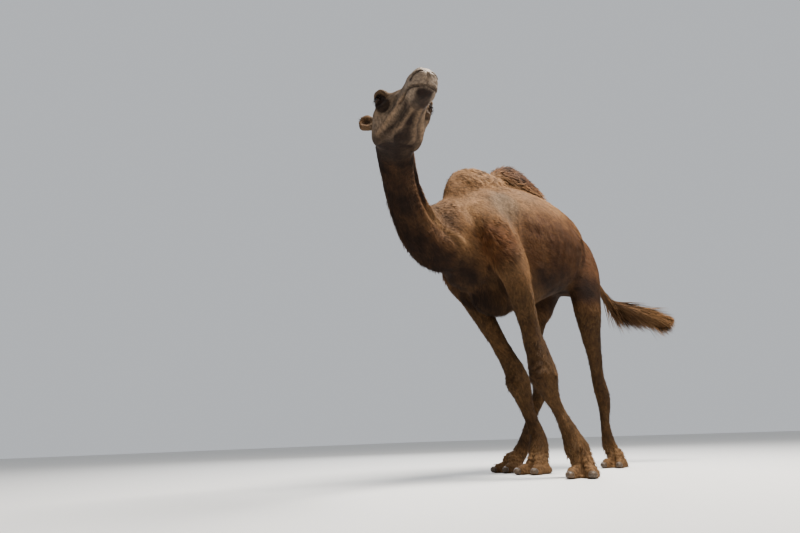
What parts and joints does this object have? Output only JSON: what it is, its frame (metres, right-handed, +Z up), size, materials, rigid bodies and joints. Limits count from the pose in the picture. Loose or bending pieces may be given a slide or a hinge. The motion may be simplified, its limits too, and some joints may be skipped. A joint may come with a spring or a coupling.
{
  "type": "dromedary camel",
  "caption": "Life-size still model of a dromedary camel standing with its head turned aside, its legs in an uneven stance and its tail swung out.",
  "frame": {"origin": "on the floor, under the middle of the animal's bounding box", "axes": "+Z up, -Y the way the trunk faces, +X the animal's left side"},
  "size_m": [1.2166, 3.4172, 2.0889],
  "materials": {
    "hide": "short tan coat",
    "neck_hide": "short dark brown coat",
    "face_hide": "sleek greyish brown coat",
    "leg_hide": "very short dusty ochre coat",
    "hump_hair": "rough reddish-brown tufts",
    "nail": "dull grey horn",
    "eye": "wet dark brown"
  },
  "bodies": {
    "root": {"trunk": "hide", "neck": "neck_hide", "head": "face_hide", "ear_left": "face_hide", "ear_right": "face_hide", "eye_left": "eye", "eye_right": "eye", "hump": "hump_hair", "tail": "hump_hair", "foreleg_left": "leg_hide", "foreleg_right": "leg_hide", "hindleg_left": "leg_hide", "hindleg_right": "leg_hide", "nail_fore_left_inner": "nail", "nail_fore_left_outer": "nail", "nail_fore_right_inner": "nail", "nail_fore_right_outer": "nail", "nail_hind_left_inner": "nail", "nail_hind_left_outer": "nail", "nail_hind_right_inner": "nail", "nail_hind_right_outer": "nail"}
  },
  "joints": []
}
